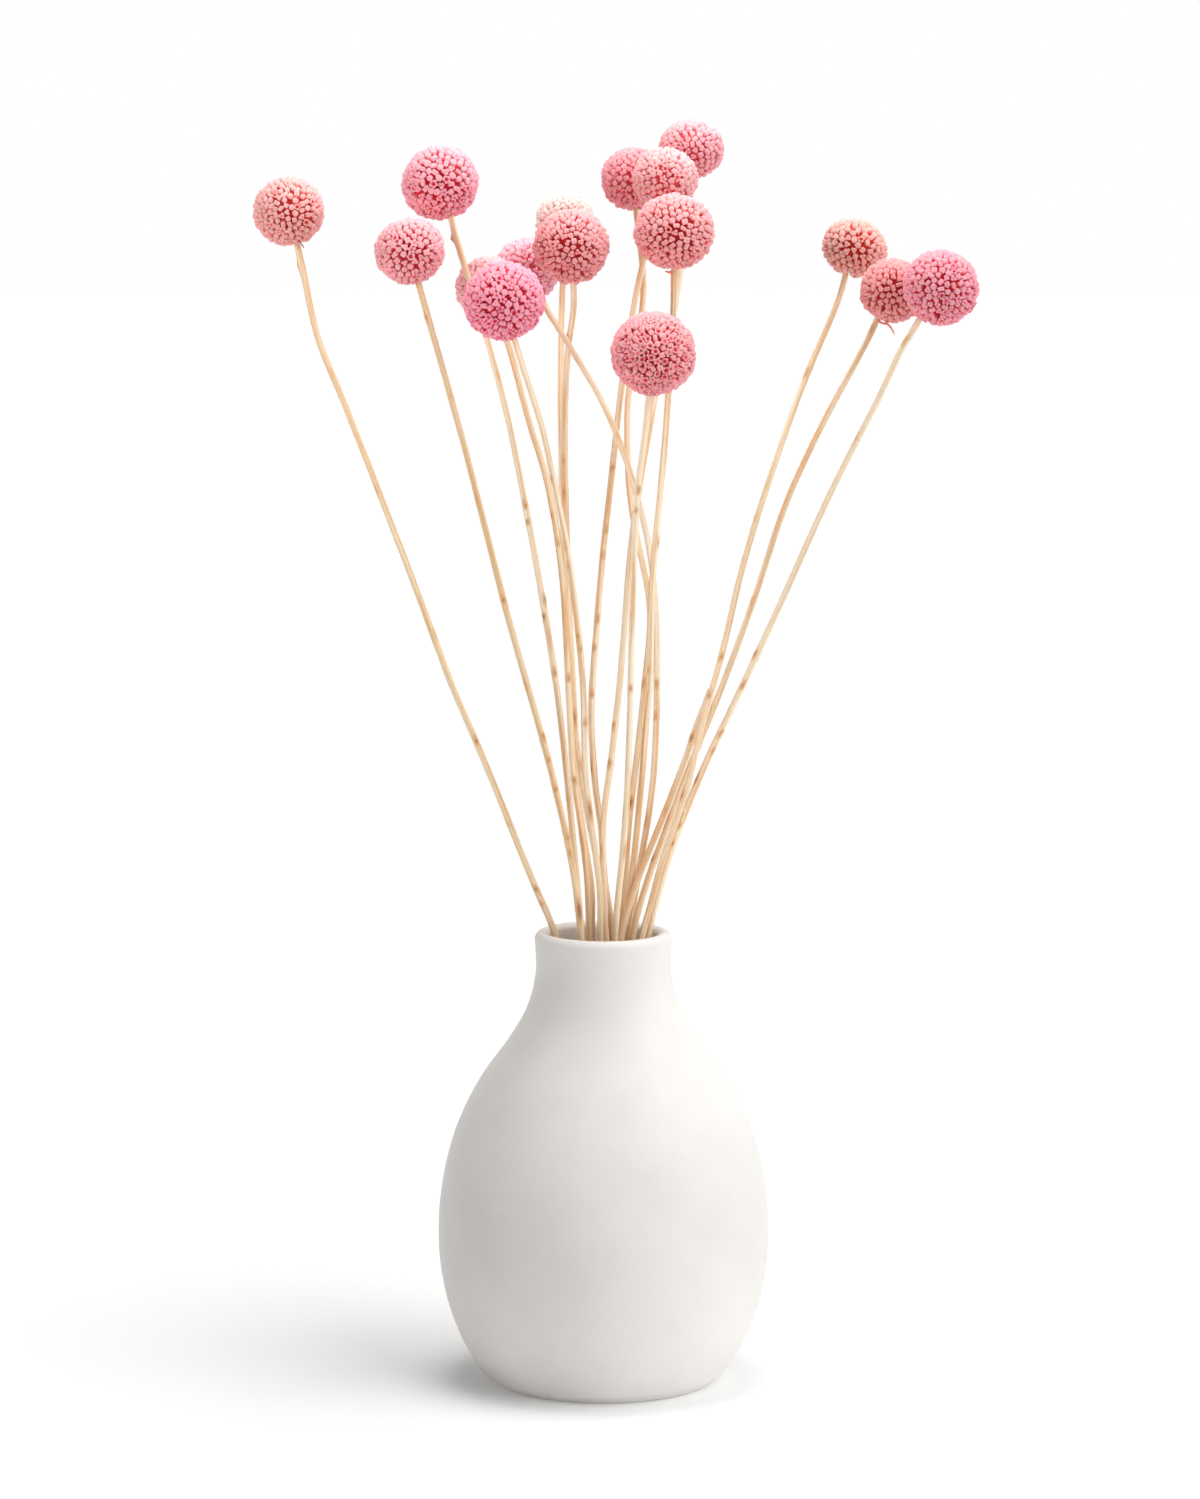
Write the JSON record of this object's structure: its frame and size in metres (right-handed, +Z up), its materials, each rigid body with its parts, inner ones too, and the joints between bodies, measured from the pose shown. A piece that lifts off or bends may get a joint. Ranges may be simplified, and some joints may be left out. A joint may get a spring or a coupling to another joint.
{
  "type": "vase of dried billy buttons",
  "caption": "Round-bellied ceramic vase holding dried billy buttons: ball-shaped pink flower heads made of tiny florets, on thin straw-coloured stems that fan out of the narrow neck.",
  "frame": {"origin": "middle of the vase's foot, on the surface that it stands on", "axes": "+Z up along the vase's axis, -Y the front that the picture shows, +X to the right seen from the front"},
  "size_m": [0.2455, 0.1199, 0.4361],
  "materials": {
    "ceramic": "satin",
    "florets_salmon": "matte",
    "florets_pink": "matte",
    "florets_rose": "matte",
    "florets_pale": "matte",
    "stem": "matte"
  },
  "bodies": {
    "root": {"vase": "ceramic", "head_01": "florets_salmon", "head_02": "florets_pink", "head_03": "florets_pink", "head_04": "florets_pale", "head_05": "florets_pink", "head_06": "florets_pink", "head_07": "florets_pale", "head_08": "florets_rose", "head_09": "florets_rose", "head_10": "florets_pink", "head_11": "florets_salmon", "head_12": "florets_rose", "head_13": "florets_pink", "head_14": "florets_salmon", "head_15": "florets_rose", "head_16": "florets_pink", "stem_01": "stem", "stem_02": "stem", "stem_03": "stem", "stem_04": "stem", "stem_05": "stem", "stem_06": "stem", "stem_07": "stem", "stem_08": "stem", "stem_09": "stem", "stem_10": "stem", "stem_11": "stem", "stem_12": "stem", "stem_13": "stem", "stem_14": "stem", "stem_15": "stem", "stem_16": "stem", "stem_17": "stem"}
  },
  "joints": []
}
